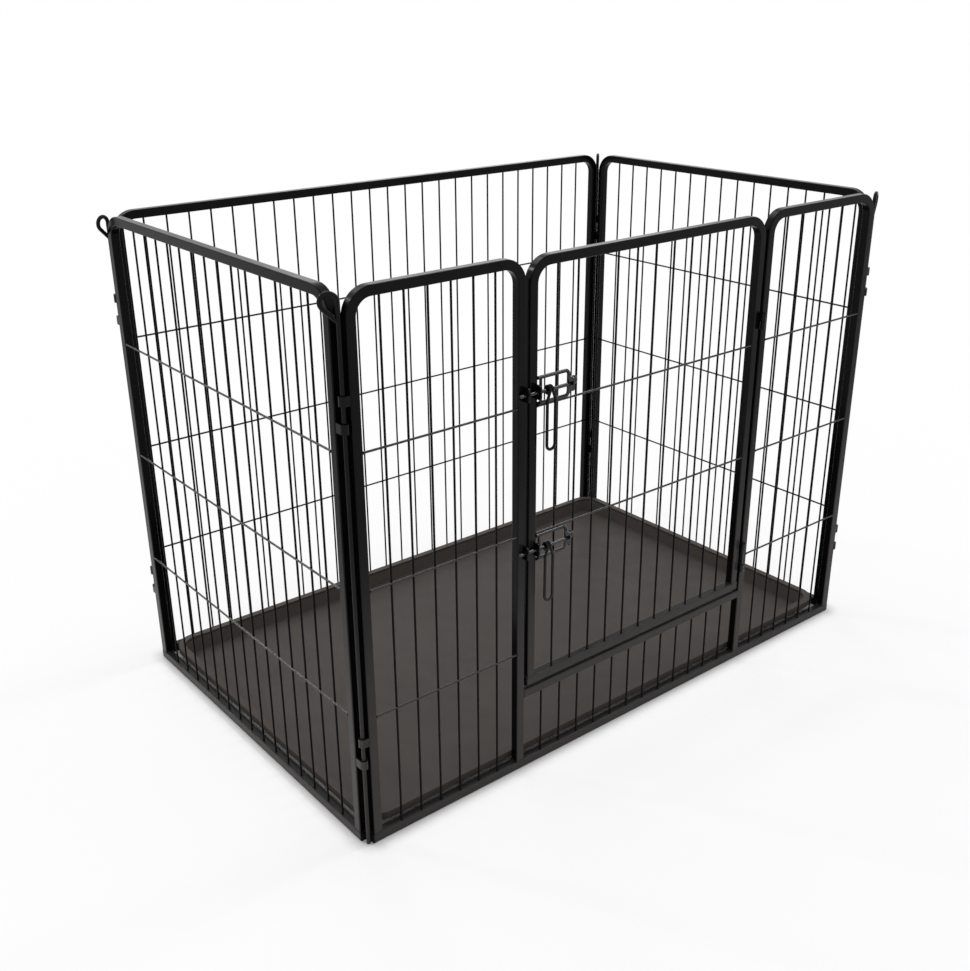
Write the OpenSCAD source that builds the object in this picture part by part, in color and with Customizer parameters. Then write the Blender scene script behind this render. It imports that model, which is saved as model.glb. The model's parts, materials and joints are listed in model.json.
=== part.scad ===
// Four-panel puppy pen: bent tube panels with wire grids, a hinged door with two
// slide bolts, removable corner pins and a lift-out floor tray. Millimetres.
// +X runs along the front from left to right, +Y to the back, +Z up.

/* [Pen] */
// Length over the outer faces of the two side panels
pen_length = 1238; // [1120:1:1400]
// Width over the outer faces of the front and back panels
pen_width = 781; // [680:1:950]
// Height of the panels
pen_height = 914; // [840:1:1050]

/* [Tube] */
// Side of the square tube
tube = 16; // [14:0.5:18]
// Wall of the square tube
tube_wall = 1.2; // [0.9:0.1:1.8]
// Radius of the tube's long edges
tube_edge_r = 2; // [1.5:0.1:3]
// Outer radius of the bends at the upper corners
bend_r = 42; // [34:1:60]

/* [Wire grid] */
// Diameter of the grid wires
wire_d = 3.6; // [2.5:0.1:4.2]
// Bays that the cross wires divide a panel into
grid_bays = 4; // [4:1:5]
// Upright wires in a side panel
side_upright_count = 15; // [11:1:18]
// Upright wires in the back panel
back_upright_count = 25; // [19:1:30]
// Upright wires in each front section
section_upright_count = 6; // [4:1:8]
// Upright wires in the door
door_upright_count = 11; // [9:1:11]
// Upright wires below the sill
sill_upright_count = 12; // [9:1:15]

/* [Door] */
// Width of each fixed front section
section_width = 319; // [280:1:340]
// Gap between the door and the section on each side
door_gap = 7.5; // [6:0.5:9]
// Height of the sill's top face
sill_top = 159; // [120:1:175]
// Gap between the sill and the door
door_lift = 6.5; // [3:0.5:9]
// How far the door's top and cross wires stay below those of the sections
door_top_drop = 4; // [0:0.5:10]

/* [Corner pins] */
// Diameter of the pin rod
pin_d = 7; // [6:0.1:7.3]
// Radius of the pin's eye, to the middle of the rod
eye_r = 12; // [10:0.5:16]
// Height of the pin's eye from its neck to its middle
eye_neck_h = 28; // [24:1:36]
// How far the pin's eye stays below the panel tops
eye_top_drop = 2; // [1:0.5:10]
// End set-back of the front and back panels from the side faces
front_setback = 15.5; // [15:0.5:20]
// End set-back of the side panels from the front and back faces
side_setback = 20; // [19.5:0.5:28]
// Distance of each loop pair from the panel's top and bottom
loop_inset = 176; // [140:1:220]
// Distance between the two loops of a pair
loop_pitch = 41; // [30:1:60]
// Height of a loop
loop_h = 15; // [10:1:20]
// Thickness of the loop strap
loop_strap = 3; // [2:0.1:3.4]
// Running room round the pin rod
loop_play = 0.5; // [0.35:0.05:0.8]

/* [Door hinges] */
// Distance of the hinge axis in front of the panel face
hinge_offset = 5.5; // [5.2:0.1:8]
// Outer radius of a hinge knuckle
knuckle_r = 4.75; // [4:0.05:4.9]
// Height of a hinge knuckle
knuckle_h = 14; // [10:1:14.5]
// Thickness of the tab that joins a knuckle to its post
hinge_tab = 2.5; // [2:0.1:2.9]
// Length of the tab on the side of the post
hinge_tab_grip = 10; // [6:0.5:11]
// Diameter of the hinge pin
hinge_pin_d = 4; // [3:0.1:4.4]
// Running room round the hinge pin
hinge_play = 0.08; // [0.05:0.01:0.1]
// Middle of the upper hinge below the panel's top
upper_hinge_drop = 197; // [150:1:240]
// Middle of the lower hinge above the door's bottom
lower_hinge_rise = 72; // [55:1:110]
// Distance between the upper hinge's knuckles
upper_hinge_span = 15; // [15:0.5:40]
// Distance between the lower hinge's knuckles
lower_hinge_span = 47; // [16:1:60]

/* [Latches] */
// Height of the latch frame over its wire
latch_h = 48; // [44:0.5:54]
// Length of the latch frame from the door post
latch_reach = 69; // [64:0.5:84]
// Diameter of the latch frame wire
latch_wire_d = 6; // [5.5:0.1:6.5]
// Distance of the frame's cross bar from the door post
latch_bar_inset = 6.5; // [6:0.5:8]
// Diameter of the bolt
bolt_d = 6; // [5:0.1:6.5]
// Room between the bolt and the latch frame behind it
bolt_clear = 0.6; // [0.5:0.1:1.2]
// Running room round the bolt
bolt_play = 0.4; // [0.35:0.05:0.6]
// How far the bolt runs past the latch frame before it curls
bolt_overrun = 4; // [3.5:0.5:8]
// Radius of the bolt's curled end, to the middle of the rod
bolt_curl_r = 5; // [4.5:0.5:7]
// Thickness of the plates that the bolt slides in
plate_t = 3; // [2.5:0.1:3.5]
// Height of these plates
plate_h = 24; // [20:1:30]
// Distance of a plate's middle from the edge of its post
plate_inset = 3.5; // [3:0.5:5]
// Diameter of the handle wire
handle_d = 5; // [4:0.1:5.2]
// Distance between the handle's legs
handle_pitch = 17; // [15:0.5:19]
// Drop of the handle below the bolt
handle_drop = 101; // [80:1:110]
// Height over which the handle's legs spread
handle_spread = 16; // [13:1:22]
// Distance of the handle's middle from the door post
handle_inset = 18.5; // [18:0.5:22]

/* [Floor tray] */
// Gap between the tray and the panels
tray_gap = 4; // [2:0.5:10]
// Height of the tray's rim
tray_h = 30; // [26:1:45]
// Thickness of the tray sheet
tray_t = 2.5; // [2:0.1:3.5]
// Outer radius of the tray's corners
tray_corner_r = 45; // [40:1:70]
// Width of the flat lip on the rim
tray_lip = 14; // [10:0.5:18]
// Height of the skirt that the lip turns down into
tray_skirt = 13; // [8:0.5:16]

/* [Hidden] */
$fn = 64;

coat_black = [0.045, 0.045, 0.048];
plug_black = [0.03, 0.03, 0.03];
tray_brown = [0.29, 0.27, 0.26];

// Panel sizes
side_length = pen_width - 2 * side_setback;
front_length = pen_length - 2 * front_setback;
post_z = tube;
grid_top = pen_height - tube;
cross_y = wire_d / 2;
wire_y = cross_y + wire_d;
tube_inner = tube - 2 * tube_wall;
tube_inner_r_min = 0.4;
tube_inner_r = max(tube_inner_r_min, tube_edge_r - tube_wall);
plug_cap = 2;
plug_depth = 12;

// Door sizes
door_w = front_length - 2 * section_width - 2 * door_gap;
door_half = door_w / 2;
door_bottom = sill_top + door_lift;
door_top = pen_height - door_top_drop;
section_x = door_half + door_gap + section_width / 2;
opening_half = door_half + door_gap;
sill_bottom = sill_top - tube;
door_first_cross = 2;

// Corner pins stand where the middle planes of two panels meet
pin_inset = tube / 2;
pin_x = pen_length / 2 - pin_inset;
pin_y = pen_width / 2 - pin_inset;
loop_bore = pin_d + 2 * loop_play;
loop_w = loop_bore + 2 * loop_strap;
loop_levels = [loop_inset, pen_height - loop_inset];
eye_z = pen_height - eye_top_drop - eye_r - pin_d / 2;
eye_lean = 2 * atan(eye_r / eye_neck_h);
front_left_eye = 150;
front_right_eye = 25;
back_left_eye = 205;
back_right_eye = 45;

// Hinges
hinge_x = door_half + door_gap / 2;
hinge_levels = [door_bottom + lower_hinge_rise, pen_height - upper_hinge_drop];
hinge_spans = [lower_hinge_span, upper_hinge_span];
hinge_head_h = 1.5;
hinge_head_rim = 1.25;
hinge_head_d = hinge_pin_d + 2 * hinge_head_rim;

// Latches are set out from the inner face of the door's left post
latch_x = tube - door_half;
latch_y = wire_y - wire_d / 2 - latch_wire_d / 2;
latch_rail = latch_h / 2 - latch_wire_d / 2;
latch_bend_r = 7;
latch_bar_thinner = 1;
latch_bar_d = latch_wire_d - latch_bar_thinner;
latch_bar_x = latch_x + latch_bar_inset;
latch_end_x = latch_x + latch_reach - latch_wire_d / 2;
latch_end_bend_x = latch_end_x - latch_bend_r;
upper_latch_z = door_cross_z(grid_bays - 1) + (wire_d + latch_h) / 2;
lower_latch_z = door_cross_z(grid_bays - 2) - (wire_d + latch_h) / 2;
bolt_offset = latch_wire_d / 2 - latch_y + bolt_clear + bolt_d / 2;
bolt_tip_x = -opening_half - tube;
bolt_end_x = latch_end_x + bolt_overrun;
plate_rim = 4;
plate_corner_r = 5;
plate_reach = bolt_offset + bolt_d / 2 + plate_rim;
handle_ring_r = bolt_d / 2 + bolt_play + handle_d / 2;
handle_ring_gap = 0.6;
handle_ring_x = (handle_d + handle_ring_gap) / 2;
handle_x = latch_x + handle_inset;
handle_wrap = 270;

// Tray section, measured outwards from the middle of a corner
tray_half_l = pen_length / 2 - tube - tray_gap;
tray_half_w = pen_width / 2 - tube - tray_gap;
tray_step = 5;
tray_ledge = 3;
tray_slope = 9;
tray_side_extra = 0.4;
tray_side_t = tray_t + tray_side_extra;
tray_lip_r = tray_corner_r - tray_lip;
tray_wall_r = tray_lip_r - tray_ledge;
tray_floor_r = tray_wall_r - tray_slope;
tray_corner_x = tray_half_l - tray_corner_r;
tray_corner_y = tray_half_w - tray_corner_r;
tray_join = 1;

// The latches reach in front of the panels and one pin eye behind them,
// so the pen is shifted to put the middle of the whole on the origin.
front_reach = max(
    plate_reach,
    bolt_offset + handle_ring_r + handle_d / 2,
    hinge_offset + knuckle_r
);
back_reach = 2 * eye_r * sin(back_right_eye) + pin_d / 2 - pin_inset;
centre_shift = (front_reach - back_reach) / 2;

// Height of a cross wire, counted from the bottom
function cross_z(level) = post_z + (grid_top - post_z) * level / grid_bays;
function door_cross_z(level) = cross_z(level) - door_top_drop;

// Places: each takes a panel drawn with its outer face at y = 0, its inside
// towards +Y and its middle at x = 0.
module on_front() {
    translate([0, centre_shift - pen_width / 2, 0]) children();
}

module on_back() {
    translate([0, centre_shift + pen_width / 2, 0]) rotate(180) children();
}

module on_left() {
    translate([-pen_length / 2, centre_shift, 0]) rotate(-90) children();
}

module on_right() {
    translate([pen_length / 2, centre_shift, 0]) rotate(90) children();
}

// Tube and wire stock
module rounded_square(side, edge_r) {
    square([side, side - 2 * edge_r], center = true);
    square([side - 2 * edge_r, side], center = true);
    for (x = [-1, 1], y = [-1, 1])
        translate([x, y] * (side / 2 - edge_r)) circle(edge_r);
}

module tube_section() {
    difference() {
        rounded_square(tube, tube_edge_r);
        rounded_square(tube_inner, tube_inner_r);
    }
}

// A straight tube along x, centred, with its outer face at y = 0 and its base at z
module tube_bar(length, z) {
    translate([-length / 2, tube / 2, z + tube / 2])
        rotate([90, 0, 90]) linear_extrude(length) tube_section();
}

module tube_post(x, bottom, top) {
    translate([x, tube / 2, bottom]) linear_extrude(top - bottom) tube_section();
}

// One bent tube: two posts, two bends and a top rail
module bent_frame(width, bottom, top) {
    bend_x = width / 2 - bend_r;
    bend_z = top - bend_r;
    tube_bar(2 * bend_x, top - tube);
    for (side = [0, 1]) mirror([side, 0, 0]) {
        tube_post(width / 2 - tube / 2, bottom, bend_z);
        translate([bend_x, tube / 2, bend_z])
            rotate([90, 0, 0])
                rotate_extrude(angle = 90)
                    translate([bend_r - tube / 2, 0]) tube_section();
    }
}

// Moulded plugs that close both ends of a bottom rail
module end_plugs(length, z) {
    for (side = [0, 1]) mirror([side, 0, 0])
        translate([length / 2, tube / 2, z + tube / 2]) rotate([90, 0, 90]) {
            linear_extrude(plug_cap) rounded_square(tube, tube_edge_r);
            translate([0, 0, -plug_depth])
                linear_extrude(plug_depth) rounded_square(tube_inner, tube_inner_r);
        }
}

// Evenly spaced upright wires between two posts that stand clear_w apart
module upright_wires(clear_w, count, bottom, top) {
    pitch = clear_w / (count + 1);
    for (i = [1 : count])
        translate([i * pitch - clear_w / 2, wire_y, bottom])
            cylinder(d = wire_d, h = top - bottom);
}

// Cross wires lie in front of the uprights and end on the posts
module cross_wires(clear_w, levels) {
    for (level = levels)
        translate([-clear_w / 2, cross_y, cross_z(level)])
            rotate([0, 90, 0]) cylinder(d = wire_d, h = clear_w);
}

// A strap bent round a corner pin, its legs reaching to a post along +X
module strap_loop(reach) {
    cut = 1;
    difference() {
        union() {
            cylinder(d = loop_w, h = loop_h, center = true);
            translate([0, -loop_w / 2, -loop_h / 2]) cube([reach, loop_w, loop_h]);
        }
        cylinder(d = loop_bore, h = loop_h + 2 * cut, center = true);
        translate([0, -loop_bore / 2, -loop_h / 2 - cut])
            cube([reach + cut, loop_bore, loop_h + 2 * cut]);
    }
}

// Loops on both ends of a panel, above or below the middle of each pair
module panel_loops(half_span, reach, side_of_pair) {
    for (side = [0, 1]) mirror([side, 0, 0])
        for (z = loop_levels)
            translate([-half_span, pin_inset, z + side_of_pair * loop_pitch / 2])
                strap_loop(reach);
}

module front_panel_loops() {
    panel_loops(pin_x, front_setback - pin_inset, 1);
}

module side_panel_loops() {
    panel_loops(pin_y, side_setback - pin_inset, -1);
}

// A pin rod that turns over into a teardrop eye and comes back to its own neck
module corner_pin(x, y, eye_direction) {
    color(coat_black) translate([x, y + centre_shift, 0]) rotate(eye_direction) {
        cylinder(d = pin_d, h = eye_z);
        translate([0, 0, eye_z - eye_neck_h])
            rotate([0, eye_lean, 0]) cylinder(d = pin_d, h = eye_neck_h);
        translate([eye_r, 0, eye_z])
            rotate([90, 0, 0]) rotate(-eye_lean)
                rotate_extrude(angle = 180 + eye_lean)
                    translate([eye_r, 0]) circle(d = pin_d);
    }
}

// A knuckle on the hinge axis with a flat tab on the side of its post
module hinge_knuckle(side, bore_d) {
    cut = 1;
    mirror([side < 0 ? 1 : 0, 0, 0]) difference() {
        union() {
            cylinder(r = knuckle_r, h = knuckle_h, center = true);
            translate([door_gap / 2 - hinge_tab, 0, -knuckle_h / 2])
                cube([hinge_tab, hinge_offset + hinge_tab_grip, knuckle_h]);
        }
        cylinder(d = bore_d, h = knuckle_h + 2 * cut, center = true);
    }
}

// A plate across a bolt that lies along x, reaching forward from y = back, with its
// front corners rounded
module bolt_plate(x, back) {
    shoulder = plate_reach - plate_corner_r;
    translate([x - plate_t / 2, 0, 0]) rotate([90, 0, 90]) linear_extrude(plate_t) difference() {
        union() {
            translate([-shoulder, -plate_h / 2]) square([shoulder + back, plate_h]);
            translate([-plate_reach, plate_corner_r - plate_h / 2])
                square([plate_corner_r, plate_h - 2 * plate_corner_r]);
            for (z = [-1, 1])
                translate([-shoulder, z * (plate_h / 2 - plate_corner_r)]) circle(plate_corner_r);
        }
        translate([-bolt_offset, 0]) circle(d = bolt_d + 2 * bolt_play);
    }
}

module post_plates(x) {
    for (z = [lower_latch_z, upper_latch_z])
        translate([0, 0, z]) bolt_plate(x, 0);
}

// One bent wire from the door post and back, a bar across it and a plate at its end
module latch_frame(z) {
    color(coat_black) on_front() translate([0, 0, z]) {
        for (side = [0, 1]) mirror([0, 0, side]) {
            translate([latch_x, latch_y, latch_rail])
                rotate([0, 90, 0]) cylinder(d = latch_wire_d, h = latch_end_bend_x - latch_x);
            translate([latch_end_bend_x, latch_y, latch_rail - latch_bend_r])
                rotate([90, 0, 0]) rotate_extrude(angle = 90)
                    translate([latch_bend_r, 0]) circle(d = latch_wire_d);
        }
        translate([latch_end_x, latch_y, latch_bend_r - latch_rail])
            cylinder(d = latch_wire_d, h = 2 * (latch_rail - latch_bend_r));
        translate([latch_bar_x, latch_y, -latch_rail])
            cylinder(d = latch_bar_d, h = 2 * latch_rail);
        bolt_plate(latch_end_x, latch_y);
    }
}

// A straight bolt whose inner end curls up and back to stop at the latch frame
module slide_bolt(z) {
    color(coat_black) on_front() translate([0, -bolt_offset, z]) {
        translate([bolt_tip_x, 0, 0])
            rotate([0, 90, 0]) cylinder(d = bolt_d, h = bolt_end_x - bolt_tip_x);
        translate([bolt_end_x, 0, bolt_curl_r])
            rotate([90, 0, 0]) rotate(-90)
                rotate_extrude(angle = 180) translate([bolt_curl_r, 0]) circle(d = bolt_d);
    }
}

// A hairpin whose two ends are wrapped round the bolt and whose legs spread below it
module bolt_handle(z) {
    leg_bottom = handle_drop - handle_pitch / 2 - handle_d / 2;
    leg_lean = atan((handle_pitch / 2 - handle_ring_x) / handle_spread);
    leg_knee = handle_d / 4;
    color(coat_black) on_front() translate([handle_x, -bolt_offset, z]) {
        for (side = [0, 1]) mirror([side, 0, 0]) {
            translate([handle_ring_x, 0, 0])
                rotate([0, 90, 0]) rotate_extrude(angle = handle_wrap)
                    translate([handle_ring_r, 0]) circle(d = handle_d);
            translate([handle_ring_x, -handle_ring_r, 0]) rotate([0, 180 - leg_lean, 0])
                translate([0, 0, -leg_knee])
                    cylinder(d = handle_d, h = handle_spread / cos(leg_lean) + 2 * leg_knee);
            translate([handle_pitch / 2, -handle_ring_r, -leg_bottom])
                cylinder(d = handle_d, h = leg_bottom - handle_spread + leg_knee);
        }
        translate([0, -handle_ring_r, -leg_bottom])
            rotate([90, 0, 0]) rotate(180)
                rotate_extrude(angle = 180) translate([handle_pitch / 2, 0]) circle(d = handle_d);
    }
}

// Side and back panels
module left_frame() color(coat_black) on_left() bent_frame(side_length, post_z, pen_height);
module right_frame() color(coat_black) on_right() bent_frame(side_length, post_z, pen_height);
module back_frame() color(coat_black) on_back() bent_frame(front_length, post_z, pen_height);

module left_bottom_rail() color(coat_black) on_left() tube_bar(side_length, 0);
module right_bottom_rail() color(coat_black) on_right() tube_bar(side_length, 0);
module back_bottom_rail() color(coat_black) on_back() tube_bar(front_length, 0);

module left_rail_plugs() color(plug_black) on_left() end_plugs(side_length, 0);
module right_rail_plugs() color(plug_black) on_right() end_plugs(side_length, 0);
module back_rail_plugs() color(plug_black) on_back() end_plugs(front_length, 0);

module side_uprights() upright_wires(side_length - 2 * tube, side_upright_count, post_z, grid_top);
module left_uprights() color(coat_black) on_left() side_uprights();
module right_uprights() color(coat_black) on_right() side_uprights();
module back_uprights() {
    color(coat_black) on_back()
        upright_wires(front_length - 2 * tube, back_upright_count, post_z, grid_top);
}

module side_cross_wires() cross_wires(side_length - 2 * tube, [1 : grid_bays - 1]);
module left_cross_wires() color(coat_black) on_left() side_cross_wires();
module right_cross_wires() color(coat_black) on_right() side_cross_wires();
module back_cross_wires() {
    color(coat_black) on_back() cross_wires(front_length - 2 * tube, [1 : grid_bays - 1]);
}

module left_loops() color(coat_black) on_left() side_panel_loops();
module right_loops() color(coat_black) on_right() side_panel_loops();
module back_loops() color(coat_black) on_back() front_panel_loops();

// Front panel
module on_left_section() on_front() translate([-section_x, 0, 0]) children();
module on_right_section() on_front() translate([section_x, 0, 0]) children();

module section_frame() bent_frame(section_width, post_z, pen_height);
module front_left_frame() color(coat_black) on_left_section() section_frame();
module front_right_frame() color(coat_black) on_right_section() section_frame();

module front_bottom_rail() color(coat_black) on_front() tube_bar(front_length, 0);
module front_rail_plugs() color(plug_black) on_front() end_plugs(front_length, 0);

module section_uprights() {
    upright_wires(section_width - 2 * tube, section_upright_count, post_z, grid_top);
}
module front_left_uprights() color(coat_black) on_left_section() section_uprights();
module front_right_uprights() color(coat_black) on_right_section() section_uprights();

module section_cross_wires() cross_wires(section_width - 2 * tube, [1 : grid_bays - 1]);
module front_left_cross_wires() color(coat_black) on_left_section() section_cross_wires();
module front_right_cross_wires() color(coat_black) on_right_section() section_cross_wires();

module front_loops() color(coat_black) on_front() front_panel_loops();

module sill_rail() color(coat_black) on_front() tube_bar(2 * opening_half, sill_bottom);
module sill_uprights() {
    color(coat_black) on_front()
        upright_wires(2 * opening_half, sill_upright_count, post_z, sill_bottom);
}

module post_hinges() {
    color(coat_black) on_front()
        for (i = [0, 1])
            translate([hinge_x, -hinge_offset, hinge_levels[i] - hinge_spans[i] / 2])
                hinge_knuckle(1, hinge_pin_d);
}

module hinge_pins() {
    color(coat_black) on_front()
        for (i = [0, 1]) translate([hinge_x, -hinge_offset, hinge_levels[i]]) {
            length = hinge_spans[i] + knuckle_h;
            cylinder(d = hinge_pin_d, h = length, center = true);
            translate([0, 0, -length / 2 - hinge_head_h])
                cylinder(d = hinge_head_d, h = hinge_head_h);
            translate([0, 0, length / 2]) cylinder(d = hinge_head_d, h = hinge_head_h);
        }
}

module bolt_keepers() color(coat_black) on_front() post_plates(-opening_half - plate_inset);

// Door
module door_frame() {
    color(coat_black) on_front() bent_frame(door_w, door_bottom + tube, door_top);
}

module door_bottom_rail() color(coat_black) on_front() tube_bar(door_w, door_bottom);
module door_rail_plugs() color(plug_black) on_front() end_plugs(door_w, door_bottom);

module door_uprights() {
    color(coat_black) on_front()
        upright_wires(door_w - 2 * tube, door_upright_count, door_bottom + tube, door_top - tube);
}

module door_cross_wires() {
    color(coat_black) on_front() translate([0, 0, -door_top_drop])
        cross_wires(door_w - 2 * tube, [door_first_cross : grid_bays - 1]);
}

module door_hinges() {
    color(coat_black) on_front()
        for (i = [0, 1])
            translate([hinge_x, -hinge_offset, hinge_levels[i] + hinge_spans[i] / 2])
                hinge_knuckle(-1, hinge_pin_d + 2 * hinge_play);
}

module bolt_guides() color(coat_black) on_front() post_plates(latch_x - plate_inset);

module upper_latch_frame() latch_frame(upper_latch_z);
module lower_latch_frame() latch_frame(lower_latch_z);
module upper_bolt() slide_bolt(upper_latch_z);
module lower_bolt() slide_bolt(lower_latch_z);
module upper_handle() bolt_handle(upper_latch_z);
module lower_handle() bolt_handle(lower_latch_z);

// Corner pins
module front_left_pin() corner_pin(-pin_x, -pin_y, front_left_eye);
module front_right_pin() corner_pin(pin_x, -pin_y, front_right_eye);
module back_left_pin() corner_pin(-pin_x, pin_y, back_left_eye);
module back_right_pin() corner_pin(pin_x, pin_y, back_right_eye);

// Tray: a formed sheet with a sloping side, a ledge, a flat lip and a turned-down skirt
module tray_section() {
    ledge_z = tray_h - tray_step;
    polygon([
        [tray_floor_r - tray_join, 0],
        [tray_floor_r + tray_side_t, 0],
        [tray_wall_r + tray_side_t, ledge_z - tray_t],
        [tray_lip_r + tray_t, ledge_z - tray_t],
        [tray_lip_r + tray_t, tray_h - tray_t],
        [tray_corner_r - tray_t, tray_h - tray_t],
        [tray_corner_r - tray_t, tray_h - tray_skirt],
        [tray_corner_r, tray_h - tray_skirt],
        [tray_corner_r, tray_h],
        [tray_lip_r, tray_h],
        [tray_lip_r, ledge_z],
        [tray_wall_r, ledge_z],
        [tray_floor_r, tray_t],
        [tray_floor_r - tray_join, tray_t]
    ]);
}

// A straight run of the tray's side, centred on the y axis, facing +X
module tray_side(corner_x, half_run) {
    translate([corner_x, half_run, 0])
        rotate([90, 0, 0]) linear_extrude(2 * half_run) tray_section();
}

module floor_tray() {
    color(tray_brown) translate([0, centre_shift, 0]) {
        for (turn = [0, 180]) rotate(turn) {
            tray_side(tray_corner_x, tray_corner_y);
            rotate(90) tray_side(tray_corner_y, tray_corner_x);
            for (side = [0, 1]) mirror([0, side, 0])
                translate([tray_corner_x, tray_corner_y, 0])
                    rotate_extrude(angle = 90) tray_section();
        }
        linear_extrude(tray_t) {
            square([2 * tray_corner_x, 2 * (tray_corner_y + tray_floor_r)], center = true);
            square([2 * (tray_corner_x + tray_floor_r), 2 * tray_corner_y], center = true);
            for (x = [-1, 1], y = [-1, 1])
                translate([x * tray_corner_x, y * tray_corner_y]) circle(tray_floor_r);
        }
    }
}

left_frame();
left_bottom_rail();
left_rail_plugs();
left_uprights();
left_cross_wires();
left_loops();
right_frame();
right_bottom_rail();
right_rail_plugs();
right_uprights();
right_cross_wires();
right_loops();
back_frame();
back_bottom_rail();
back_rail_plugs();
back_uprights();
back_cross_wires();
back_loops();
front_left_frame();
front_right_frame();
front_bottom_rail();
front_rail_plugs();
front_left_uprights();
front_right_uprights();
front_left_cross_wires();
front_right_cross_wires();
front_loops();
sill_rail();
sill_uprights();
post_hinges();
hinge_pins();
bolt_keepers();
door_frame();
door_bottom_rail();
door_rail_plugs();
door_uprights();
door_cross_wires();
door_hinges();
upper_latch_frame();
lower_latch_frame();
bolt_guides();
upper_bolt();
lower_bolt();
upper_handle();
lower_handle();
front_left_pin();
front_right_pin();
back_left_pin();
back_right_pin();
floor_tray();
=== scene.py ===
"""Looks of the four-panel puppy pen: powder coat, plastic tray, weld beads, light and camera."""

import json
import math
import random

import bpy
from mathutils import Euler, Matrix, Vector


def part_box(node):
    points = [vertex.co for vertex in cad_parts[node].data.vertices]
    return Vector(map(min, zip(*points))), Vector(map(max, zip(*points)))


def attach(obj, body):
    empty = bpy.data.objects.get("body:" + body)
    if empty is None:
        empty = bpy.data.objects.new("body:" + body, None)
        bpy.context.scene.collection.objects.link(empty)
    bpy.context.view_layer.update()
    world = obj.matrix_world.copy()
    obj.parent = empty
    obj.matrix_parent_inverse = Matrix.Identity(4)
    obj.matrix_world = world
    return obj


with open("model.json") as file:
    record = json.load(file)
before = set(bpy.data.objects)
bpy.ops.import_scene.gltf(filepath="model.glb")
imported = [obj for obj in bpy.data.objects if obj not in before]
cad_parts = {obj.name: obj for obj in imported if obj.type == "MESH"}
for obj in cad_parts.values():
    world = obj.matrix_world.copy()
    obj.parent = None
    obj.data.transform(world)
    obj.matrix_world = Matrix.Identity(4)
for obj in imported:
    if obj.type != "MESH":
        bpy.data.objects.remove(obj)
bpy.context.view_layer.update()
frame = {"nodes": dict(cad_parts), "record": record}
random.seed(7)

# Camera, fitted to the photograph, and the distances in metres between which it sees
CAMERA_PLACE = (-1.41083, -1.68192, 1.27577)
CAMERA_TURN_DEG = (66.922, 0.4163, -39.0705)
CAMERA_LENS_MM = 43.156
SENSOR_MM = 36.0
CLIP_NEAR = 0.01
CLIP_FAR = 1000.0

# Lights: power on a surface that faces them, width across the sky in degrees, and where they stand
LIGHTS = {
    "key": (0.70, 34.0, (0.06, 0.64, 0.766)),
    "glint": (0.38, 6.0, (-0.42, 0.76, 0.50)),
    "top": (0.55, 12.0, (0.60, -0.05, 0.80)),
    "rim": (0.09, 22.0, (0.60, 0.75, 0.26)),
}

# Strength of the surround as a light; where it is seen it is plain white
SURROUND = 0.65

# Floor: colour, roughness, half its side and how far it lies under the pen, in metres
FLOOR_COLOUR = (0.97, 0.97, 0.97)
FLOOR_ROUGHNESS = 0.9
FLOOR_REACH = 400.0
FLOOR_DROP = 0.0006

# How much of the floor's white shows by itself, over the white that the lights give it, and
# between which distances from the tray that share sets in, in metres
FLOOR_GLOW = 0.65
GLOW_START = 0.02
GLOW_FULL = 0.05

# Part of a noise's range that is spread over a range of colours or values
NOISE_LOW = 0.3
NOISE_HIGH = 0.7

# Noises: waves in a metre, detail and roughness
TONE_NOISE = (14.0, 4.0, 0.5)
GLOSS_NOISE = (45.0, 3.0, 0.5)
PEEL_NOISE = (420.0, 2.0, 0.5)
GRAIN_NOISE = (1900.0, 1.0, 0.5)
REFLECTION_PATCH_NOISE = (30.0, 5.0, 0.65)
FLOW_NOISE = (5.0, 5.0, 0.6)
SATIN_NOISE = (22.0, 4.0, 0.5)
SAG_NOISE = (9.0, 2.0, 0.5)

# Depth of the powder coat's grain as a part of its orange peel, depth of the plastic's slow waves in
# metres, detail and roughness of the plastic's leathery grain, and the plastic's gloss
GRAIN_SHARE = 0.25
SAG_DEPTH = 0.0008
LEATHER_DETAIL = (3.0, 0.6)
PLASTIC_GLOSS = 0.11

# Painted reflection of the white floor, a lighter colour on the lower outer faces: its colour, between
# which heights in metres it fades out, how deep into the panels it gets, and its share on the short sides,
# stronger there as painted light, on the long sides and on faces that look up
FLOOR_REFLECTION_COLOUR = (0.106, 0.098, 0.095)
REFLECTION_FULL_BELOW = 0.14
REFLECTION_GONE_ABOVE = 0.62
REFLECTION_DEPTH = 0.008
REFLECTION_ON_ENDS = 1.4
REFLECTION_ON_FRONT = 1.0
REFLECTION_ON_TOP = 0.45

# Between which heights of its normal a face starts to look up, and the weakest and strongest patches of the
# painted reflection
LOOKS_UP_START = 0.3
LOOKS_UP_FULL = 0.9
REFLECTION_WEAKEST = 0.92
REFLECTION_STRONGEST = 1.08

# Panels and panel sections that have a frame and wires of their own
PANELS = ("left", "right", "back", "front_left", "front_right")

# Weld beads, the corners of the tubes that they go round, and the length in metres over which a piece
# of a wire node counts as a wire that gets beads
END_BEAD_R = 0.0026
END_BEAD_H = 0.0017
CROSS_BEAD_R = 0.0021
CROSS_BEAD_H = 0.0015
FOOT_BEAD_R = 0.0013
FOOT_CORNER_R = 0.002
LONG_WIRE = 0.05

# Form of the beads: facets of the round ones and between which factors their sizes vary; facets of
# the foot beads, their points at a corner, and the size of their ripples and its step in radians
BEAD_RINGS = 5
BEAD_SIDES = 8
BEAD_SMALLEST = 0.85
BEAD_LARGEST = 1.15
FOOT_BEAD_SIDES = 6
CORNER_STEPS = 9
RIPPLE = 0.18
RIPPLE_STEP = 2.1


# Materials
def new_material(name):
    """A node material, with its tree and its principled shader."""
    material = bpy.data.materials.new(name)
    material.use_nodes = True
    tree = material.node_tree
    return material, tree, tree.nodes["Principled BSDF"]


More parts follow.
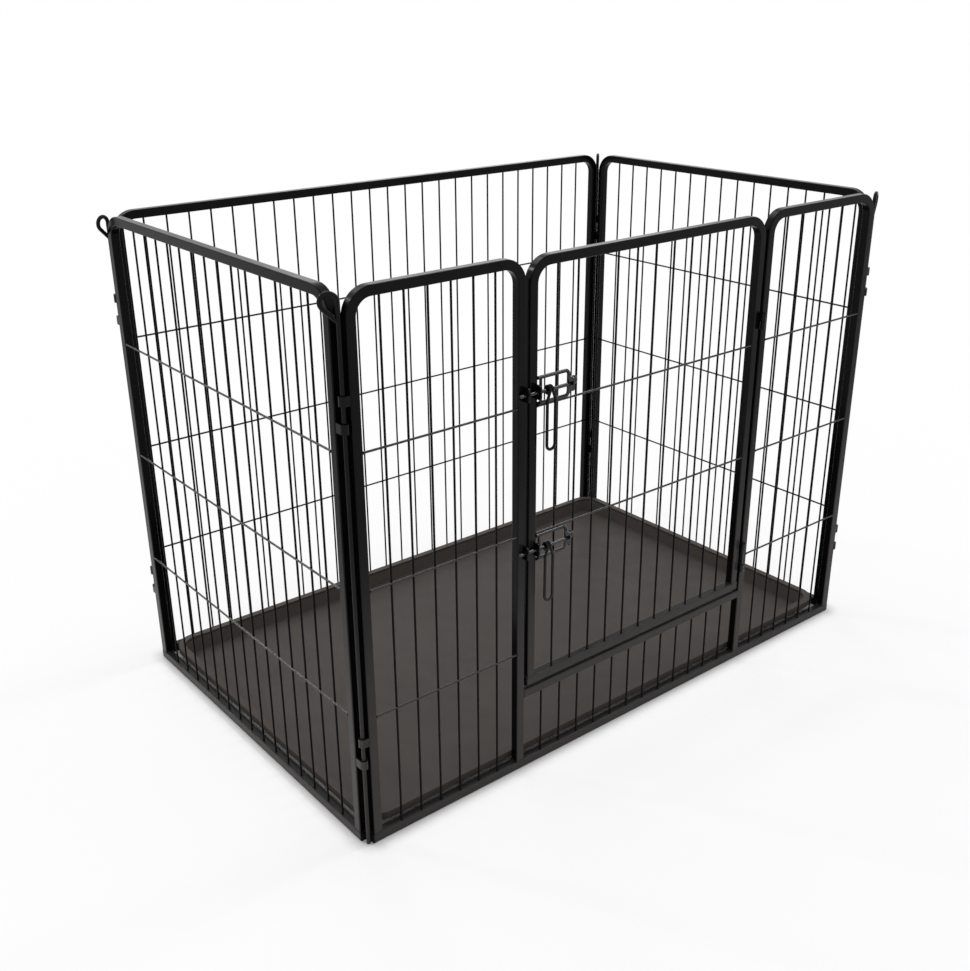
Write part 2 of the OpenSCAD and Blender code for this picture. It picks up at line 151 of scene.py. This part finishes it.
def own_frame(tree, output):
    """The object's own places in metres, or its own normals, which move along with it."""
    node = tree.nodes.get("own_frame") or tree.nodes.new("ShaderNodeTexCoord")
    node.name = "own_frame"
    return node.outputs[output]


def noise(tree, scale, detail, rough):
    """Noise in the object's own metres."""
    node = tree.nodes.new("ShaderNodeTexNoise")
    node.inputs["Scale"].default_value = scale
    node.inputs["Detail"].default_value = detail
    node.inputs["Roughness"].default_value = rough
    tree.links.new(own_frame(tree, "Object"), node.inputs["Vector"])
    return node.outputs["Fac"]


def spread(tree, value, low, high):
    """Maps the middle of a noise onto a range."""
    node = tree.nodes.new("ShaderNodeMapRange")
    node.inputs["From Min"].default_value = NOISE_LOW
    node.inputs["From Max"].default_value = NOISE_HIGH
    node.inputs["To Min"].default_value = low
    node.inputs["To Max"].default_value = high
    tree.links.new(value, node.inputs["Value"])
    return node.outputs["Result"]


def two_tone(tree, value, dark, light):
    """A colour that runs from dark to light with a noise."""
    node = tree.nodes.new("ShaderNodeValToRGB")
    node.color_ramp.elements[0].position = NOISE_LOW
    node.color_ramp.elements[0].color = (*dark, 1.0)
    node.color_ramp.elements[1].position = NOISE_HIGH
    node.color_ramp.elements[1].color = (*light, 1.0)
    tree.links.new(value, node.inputs["Fac"])
    return node.outputs["Color"]


def bump(tree, height, depth, normal=None):
    """A bump of that depth in metres, over another one if there is one."""
    node = tree.nodes.new("ShaderNodeBump")
    node.inputs["Strength"].default_value = 1.0
    node.inputs["Distance"].default_value = depth
    tree.links.new(height, node.inputs["Height"])
    if normal is not None:
        tree.links.new(normal, node.inputs["Normal"])
    return node.outputs["Normal"]


def ramp(tree, value, start, end, low, high):
    """Maps a value smoothly from one range onto another."""
    node = tree.nodes.new("ShaderNodeMapRange")
    node.interpolation_type = "SMOOTHSTEP"
    node.inputs["From Min"].default_value = start
    node.inputs["From Max"].default_value = end
    node.inputs["To Min"].default_value = low
    node.inputs["To Max"].default_value = high
    tree.links.new(value, node.inputs["Value"])
    return node.outputs["Result"]


def height_part(tree, vector):
    """The z part of a vector."""
    node = tree.nodes.new("ShaderNodeSeparateXYZ")
    tree.links.new(vector, node.inputs["Vector"])
    return node.outputs["Z"]


def combine(tree, operation, first, second):
    """One step of arithmetic with two values."""
    node = tree.nodes.new("ShaderNodeMath")
    node.operation = operation
    tree.links.new(first, node.inputs[0])
    tree.links.new(second, node.inputs[1])
    return node.outputs["Value"]


def vector_step(tree, operation, vector, other=(0.0, 0.0, 0.0)):
    """One step of vector arithmetic with a second vector, either fixed or from a node."""
    node = tree.nodes.new("ShaderNodeVectorMath")
    node.operation = operation
    tree.links.new(vector, node.inputs[0])
    if isinstance(other, bpy.types.NodeSocket):
        tree.links.new(other, node.inputs[1])
    else:
        node.inputs[1].default_value = other
    return node.outputs["Value" if operation in ("LENGTH", "DOT_PRODUCT") else "Vector"]


def outer_faces(tree):
    """How far a face looks outwards, on the outer sides of the four panels only; a mask for the painted
    floor reflection.
    """
    low_x, high_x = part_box("left_frame")[0].x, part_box("right_frame")[1].x
    low_y, high_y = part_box("front_left_frame")[0].y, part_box("back_frame")[1].y
    middle = ((low_x + high_x) / 2, (low_y + high_y) / 2, 0.0)
    start = ((high_x - low_x) / 2 - REFLECTION_DEPTH, (high_y - low_y) / 2 - REFLECTION_DEPTH, 0.0)
    offset = vector_step(tree, "SUBTRACT", own_frame(tree, "Object"), middle)
    side = vector_step(tree, "SIGN", offset)
    outwards = vector_step(tree, "MULTIPLY", own_frame(tree, "Normal"), side)
    outwards = vector_step(tree, "MAXIMUM", outwards)
    share = vector_step(tree, "SUBTRACT", vector_step(tree, "ABSOLUTE", offset), start)
    share = vector_step(tree, "DIVIDE", share, (REFLECTION_DEPTH / 2, REFLECTION_DEPTH / 2, 1.0))
    share = vector_step(tree, "MINIMUM", vector_step(tree, "MAXIMUM", share), (1.0, 1.0, 1.0))
    share = vector_step(tree, "MULTIPLY", share, (REFLECTION_ON_ENDS, REFLECTION_ON_FRONT, 0.0))
    return vector_step(tree, "DOT_PRODUCT", outwards, share)


def with_floor_reflection(tree, colour, floor_reflection):
    """A patchy painted reflection of the white floor that lightens a colour, which reaches that share near
    the ground.
    """
    above_ground = height_part(tree, own_frame(tree, "Object"))
    near_ground = ramp(tree, above_ground, REFLECTION_FULL_BELOW, REFLECTION_GONE_ABOVE, floor_reflection, 0.0)
    looks_up = height_part(tree, own_frame(tree, "Normal"))
    on_top = ramp(tree, looks_up, LOOKS_UP_START, LOOKS_UP_FULL, 0.0, REFLECTION_ON_TOP)
    reflection_share = combine(tree, "MULTIPLY", near_ground, combine(tree, "ADD", outer_faces(tree), on_top))
    patches = spread(tree, noise(tree, *REFLECTION_PATCH_NOISE), REFLECTION_WEAKEST, REFLECTION_STRONGEST)
    reflection_share = combine(tree, "MULTIPLY", reflection_share, patches)
    # Painted reflection: the base colour is lightened towards the floor's reflected white near the ground
    mix = tree.nodes.new("ShaderNodeMixRGB")
    mix.inputs["Color2"].default_value = (*FLOOR_REFLECTION_COLOUR, 1.0)
    tree.links.new(reflection_share, mix.inputs["Fac"])
    tree.links.new(colour, mix.inputs["Color1"])
    return mix.outputs["Color"]


def powder_coat(name, dark, light, rough, peel, gloss, floor_reflection):
    """Black powder coat: orange peel, a finer grain, slow changes of tone and gloss, and a painted
    reflection of the floor low down.
    """
    material, tree, shader = new_material(name)
    shader.inputs["Specular IOR Level"].default_value = gloss
    tone = two_tone(tree, noise(tree, *TONE_NOISE), dark, light)
    # The base colour carries a painted reflection of the floor near the ground
    tree.links.new(with_floor_reflection(tree, tone, floor_reflection), shader.inputs["Base Color"])
    roughness = spread(tree, noise(tree, *GLOSS_NOISE), *rough)
    tree.links.new(roughness, shader.inputs["Roughness"])
    peeled = bump(tree, noise(tree, *PEEL_NOISE), peel)
    grained = bump(tree, noise(tree, *GRAIN_NOISE), peel * GRAIN_SHARE, peeled)
    tree.links.new(grained, shader.inputs["Normal"])
    return material


def moulded_plastic(name, dark, light, rough, grain_scale, grain_depth):
    """Moulded plastic: a leathery grain, faint flow marks and a satin that varies a little."""
    material, tree, shader = new_material(name)
    shader.inputs["Specular IOR Level"].default_value = PLASTIC_GLOSS
    tone = two_tone(tree, noise(tree, *FLOW_NOISE), dark, light)
    tree.links.new(tone, shader.inputs["Base Color"])
    satin = spread(tree, noise(tree, *SATIN_NOISE), *rough)
    tree.links.new(satin, shader.inputs["Roughness"])
    grained = bump(tree, noise(tree, grain_scale, *LEATHER_DETAIL), grain_depth)
    sagging = bump(tree, noise(tree, *SAG_NOISE), SAG_DEPTH, grained)
    tree.links.new(sagging, shader.inputs["Normal"])
    return material


# Powder coats: darkest and lightest colour, range of roughness, depth of the orange peel in metres,
# gloss, and share of the painted floor reflection near the ground
COATS = {
    "coated_tube": dict(
        dark=(0.0016, 0.0015, 0.0015), light=(0.0032, 0.0030, 0.0029),
        rough=(0.17, 0.24), peel=0.00003, gloss=0.085, floor_reflection=0.37),
    "coated_wire": dict(
        dark=(0.0010, 0.0010, 0.0012), light=(0.0022, 0.0021, 0.0021),
        rough=(0.24, 0.34), peel=0.00002, gloss=0.06, floor_reflection=0.04),
    "cross_wire": dict(
        dark=(0.0010, 0.0010, 0.0012), light=(0.0022, 0.0021, 0.0021),
        rough=(0.20, 0.28), peel=0.00002, gloss=0.42, floor_reflection=0.04),
    "coated_hardware": dict(
        dark=(0.0016, 0.0015, 0.0015), light=(0.0032, 0.0030, 0.0029),
        rough=(0.17, 0.24), peel=0.00003, gloss=0.12, floor_reflection=0.28),
    "latch_metal": dict(
        dark=(0.0010, 0.0010, 0.0012), light=(0.0024, 0.0024, 0.0024),
        rough=(0.12, 0.18), peel=0.00003, gloss=0.50, floor_reflection=0.08),
}

# Plastics: darkest and lightest colour, range of roughness, waves in a metre and depth of the grain
PLASTICS = {
    "plug_plastic": dict(
        dark=(0.004, 0.004, 0.004), light=(0.007, 0.007, 0.007),
        rough=(0.50, 0.62), grain_scale=1500.0, grain_depth=0.00005),
    "tray_plastic": dict(
        dark=(0.0498, 0.0424, 0.0388), light=(0.0602, 0.0512, 0.0468),
        rough=(0.44, 0.54), grain_scale=900.0, grain_depth=0.00010),
}

MATERIALS = {name: powder_coat(name, **values) for name, values in COATS.items()}
MATERIALS.update({name: moulded_plastic(name, **values) for name, values in PLASTICS.items()})

# Finishes of nodes that are shinier than the rest of their slot, by the end of the node's name
SHINIER = {"_cross_wires": "cross_wire", "_bolt": "latch_metal", "_latch_frame": "latch_metal"}


def finish_of(node, slot):
    """The finish of a CAD node: its slot's own, or a shinier one."""
    for ending, finish in SHINIER.items():
        if node.endswith(ending):
            return finish
    return slot


def paint_nodes():
    """Gives every CAD node its finish."""
    for row in frame["record"]["subparts"]:
        slots = frame["nodes"][row["node"]].data.materials
        slots.clear()
        slots.append(MATERIALS[finish_of(row["node"], row["material_slot"])])


# Weld beads
def wires_of(node):
    """The lowest and highest corner of each long wire in a CAD node."""
    mesh = frame["nodes"][node].data
    lead = list(range(len(mesh.vertices)))

    def find(i):
        while lead[i] != i:
            lead[i] = lead[lead[i]]
            i = lead[i]
        return i

    for edge in mesh.edges:
        a, b = find(edge.vertices[0]), find(edge.vertices[1])
        lead[a] = b
    corners = {}
    for vertex in mesh.vertices:
        low, high = corners.setdefault(find(vertex.index), (vertex.co.copy(), vertex.co.copy()))
        for axis in range(3):
            low[axis] = min(low[axis], vertex.co[axis])
            high[axis] = max(high[axis], vertex.co[axis])
    return [(low, high) for low, high in corners.values() if max(high - low) > LONG_WIRE]


def add_bead(points, faces, place, size):
    """One lumpy weld bead: a low-poly ball with its own stretch and turn."""
    turn = random.uniform(0.0, math.tau)
    stretch = [side * random.uniform(BEAD_SMALLEST, BEAD_LARGEST) for side in size]
    first = len(points)
    for ring in range(BEAD_RINGS + 1):
        polar = math.pi * ring / BEAD_RINGS
        for side in range(BEAD_SIDES):
            angle = turn + math.tau * side / BEAD_SIDES
            ball = (math.sin(polar) * math.cos(angle), math.sin(polar) * math.sin(angle), math.cos(polar))
            points.append([place[axis] + stretch[axis] * ball[axis] for axis in range(3)])
    for ring in range(BEAD_RINGS):
        for side in range(BEAD_SIDES):
            a = first + ring * BEAD_SIDES + side
            b = first + ring * BEAD_SIDES + (side + 1) % BEAD_SIDES
            faces.append((a, b, b + BEAD_SIDES, a + BEAD_SIDES))


def add_mesh(name, points, faces, body, slot):
    """Makes a smooth mesh that rides on a body and takes a slot's finish."""
    mesh = bpy.data.meshes.new(name)
    mesh.from_pydata(points, [], faces)
    mesh.validate()
    mesh.polygons.foreach_set("use_smooth", [True] * len(mesh.polygons))
    mesh.materials.append(MATERIALS[slot])
    piece = bpy.data.objects.new(name, mesh)
    bpy.context.scene.collection.objects.link(piece)
    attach(piece, body)


def weld_grid(name, uprights, crosses, body):
    """Beads where the wires of one panel meet its rails, its posts and each other."""
    points, faces = [], []
    upright_wires = wires_of(uprights)
    cross_wires = wires_of(crosses) if crosses else []
    for low, high in upright_wires:
        middle = (low + high) / 2
        for z in (low.z, high.z):
            add_bead(points, faces, (middle.x, middle.y, z), (END_BEAD_R, END_BEAD_R, END_BEAD_H))
    for low, high in cross_wires:
        middle = (low + high) / 2
        along = 0 if high.x - low.x > high.y - low.y else 1
        size = [END_BEAD_R] * 3
        size[along] = END_BEAD_H
        for end in (low[along], high[along]):
            place = middle.copy()
            place[along] = end
            add_bead(points, faces, place, size)
        for upright_low, upright_high in upright_wires:
            post = (upright_low + upright_high) / 2
            place = (middle + post) / 2
            place[along] = post[along]
            place.z = middle.z
            add_bead(points, faces, place, (CROSS_BEAD_R, CROSS_BEAD_R, CROSS_BEAD_H))
    add_mesh(name, points, faces, body, "coated_wire")


def weld_all_grids():
    """Beads on every panel and on the door."""
    for panel in PANELS:
        weld_grid(panel + "_welds", panel + "_uprights", panel + "_cross_wires", "pen")
    weld_grid("sill_welds", "sill_uprights", None, "pen")
    weld_grid("door_welds", "door_uprights", "door_cross_wires", "door")


def bead_path(points, faces, path):
    """A closed weld bead along a flat ring of points, with small ripples."""
    first = len(points)
    count = len(path)
    for i, here in enumerate(path):
        ahead = path[(i + 1) % count] - path[i - 1]
        across = ahead.cross(Vector((0.0, 0.0, 1.0))).normalized()
        size = FOOT_BEAD_R * (1.0 + RIPPLE * math.sin(i * RIPPLE_STEP))
        for side in range(FOOT_BEAD_SIDES):
            angle = math.tau * side / FOOT_BEAD_SIDES
            lift = Vector((0.0, 0.0, math.sin(angle) * size))
            points.append(here + across * math.cos(angle) * size + lift)
    for i in range(count):
        here = first + i * FOOT_BEAD_SIDES
        ahead = first + (i + 1) % count * FOOT_BEAD_SIDES
        for side in range(FOOT_BEAD_SIDES):
            after = (side + 1) % FOOT_BEAD_SIDES
            faces.append((here + side, here + after, ahead + after, ahead + side))


def foot_ring(x, y, z, half):
    """Points round a square tube that stands upright."""
    ring = []
    step_deg = 90 / CORNER_STEPS
    for turn in range(4):
        centre_x = x + (half - FOOT_CORNER_R) * (1 if turn in (0, 3) else -1)
        centre_y = y + (half - FOOT_CORNER_R) * (1 if turn in (0, 1) else -1)
        for step in range(CORNER_STEPS):
            angle = math.radians(turn * 90 + (step + 0.5) * step_deg)
            reach = FOOT_CORNER_R * Vector((math.cos(angle), math.sin(angle), 0.0))
            ring.append(Vector((centre_x, centre_y, z)) + reach)
    return ring


def weld_feet(name, frame_node, body):
    """Beads round both feet of a bent frame, where it stands on its bottom rail."""
    low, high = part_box(frame_node)
    half = min(high.x - low.x, high.y - low.y) / 2
    points, faces = [], []
    if high.x - low.x > high.y - low.y:
        feet = [(low.x + half, low.y + half), (high.x - half, low.y + half)]
    else:
        feet = [(low.x + half, low.y + half), (low.x + half, high.y - half)]
    for x, y in feet:
        bead_path(points, faces, foot_ring(x, y, low.z, half))
    add_mesh(name, points, faces, body, "coated_tube")


def weld_all_feet():
    """Foot beads on every bent frame."""
    for panel in PANELS:
        weld_feet(panel + "_foot_welds", panel + "_frame", "pen")
    weld_feet("door_foot_welds", "door_frame", "door")


# Stage
def distance_from(tree, low, high):
    """How far a place on the floor is from a box that stands on it."""
    middle = ((low.x + high.x) / 2, (low.y + high.y) / 2, 0.0)
    half = ((high.x - low.x) / 2, (high.y - low.y) / 2, 1.0)
    place = tree.nodes.new("ShaderNodeNewGeometry").outputs["Position"]
    outside = vector_step(tree, "ABSOLUTE", vector_step(tree, "SUBTRACT", place, middle))
    outside = vector_step(tree, "MAXIMUM", vector_step(tree, "SUBTRACT", outside, half))
    return vector_step(tree, "LENGTH", outside)


def seen_directly(tree):
    """One for what the camera sees, also in a reflection or through glass, and else nought."""
    path = tree.nodes.new("ShaderNodeLightPath")
    seen = combine(tree, "MAXIMUM", path.outputs["Is Camera Ray"], path.outputs["Is Glossy Ray"])
    return combine(tree, "MAXIMUM", seen, path.outputs["Is Transmission Ray"])


def shows_white(tree, shader):
    """Mixes plain white into what is seen of the floor round the pen, which lights nothing."""
    around = distance_from(tree, *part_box("floor_tray"))
    around = ramp(tree, around, GLOW_START, GLOW_FULL, 0.0, FLOOR_GLOW)
    share = combine(tree, "MULTIPLY", seen_directly(tree), around)
    white = tree.nodes.new("ShaderNodeEmission")
    white.inputs["Strength"].default_value = 1.0
    mix = tree.nodes.new("ShaderNodeMixShader")
    tree.links.new(share, mix.inputs["Fac"])
    tree.links.new(shader.outputs["BSDF"], mix.inputs[1])
    tree.links.new(white.outputs["Emission"], mix.inputs[2])
    tree.links.new(mix.outputs["Shader"], tree.nodes["Material Output"].inputs["Surface"])


def build_floor():
    """A wide, plain white floor."""
    material, tree, shader = new_material("floor_white")
    shader.inputs["Base Color"].default_value = (*FLOOR_COLOUR, 1.0)
    shader.inputs["Roughness"].default_value = FLOOR_ROUGHNESS
    shader.inputs["Specular IOR Level"].default_value = 0.0
    shows_white(tree, shader)
    mesh = bpy.data.meshes.new("floor")
    corners = [(x * FLOOR_REACH, y * FLOOR_REACH, 0) for x, y in ((-1, -1), (1, -1), (1, 1), (-1, 1))]
    mesh.from_pydata(corners, [], [(0, 1, 2, 3)])
    mesh.materials.append(material)
    floor = bpy.data.objects.new("floor", mesh)
    floor.location.z = -FLOOR_DROP
    bpy.context.scene.collection.objects.link(floor)


def build_world():
    """An even surround, which is seen as white and lights the pen a little less than white would."""
    world = bpy.data.worlds.new("studio")
    bpy.context.scene.world = world
    world.use_nodes = True
    tree = world.node_tree
    background = tree.nodes["Background"]
    background.inputs["Color"].default_value = (1.0, 1.0, 1.0, 1.0)
    strength = ramp(tree, seen_directly(tree), 0.0, 1.0, SURROUND, 1.0)
    tree.links.new(strength, background.inputs["Strength"])


def build_lights():
    """Suns: a soft one and a narrow one from behind, one from above and a low one that rims upper faces."""
    for name, (power, width_deg, stands) in LIGHTS.items():
        lamp = bpy.data.lights.new(name, "SUN")
        lamp.energy = power
        lamp.angle = math.radians(width_deg)
        holder = bpy.data.objects.new(name, lamp)
        holder.rotation_euler = (-Vector(stands)).to_track_quat("-Z", "Y").to_euler()
        bpy.context.scene.collection.objects.link(holder)


def build_camera():
    """The photograph's camera."""
    camera = bpy.data.cameras.new("camera")
    camera.sensor_fit = "HORIZONTAL"
    camera.sensor_width = SENSOR_MM
    camera.lens = CAMERA_LENS_MM
    camera.clip_start = CLIP_NEAR
    camera.clip_end = CLIP_FAR
    holder = bpy.data.objects.new("camera", camera)
    holder.location = CAMERA_PLACE
    holder.rotation_euler = Euler([math.radians(turn) for turn in CAMERA_TURN_DEG], "XYZ")
    bpy.context.scene.collection.objects.link(holder)
    bpy.context.scene.camera = holder


paint_nodes()
weld_all_grids()
weld_all_feet()
build_floor()
build_world()
build_lights()
build_camera()
bpy.context.scene.view_settings.view_transform = "Standard"
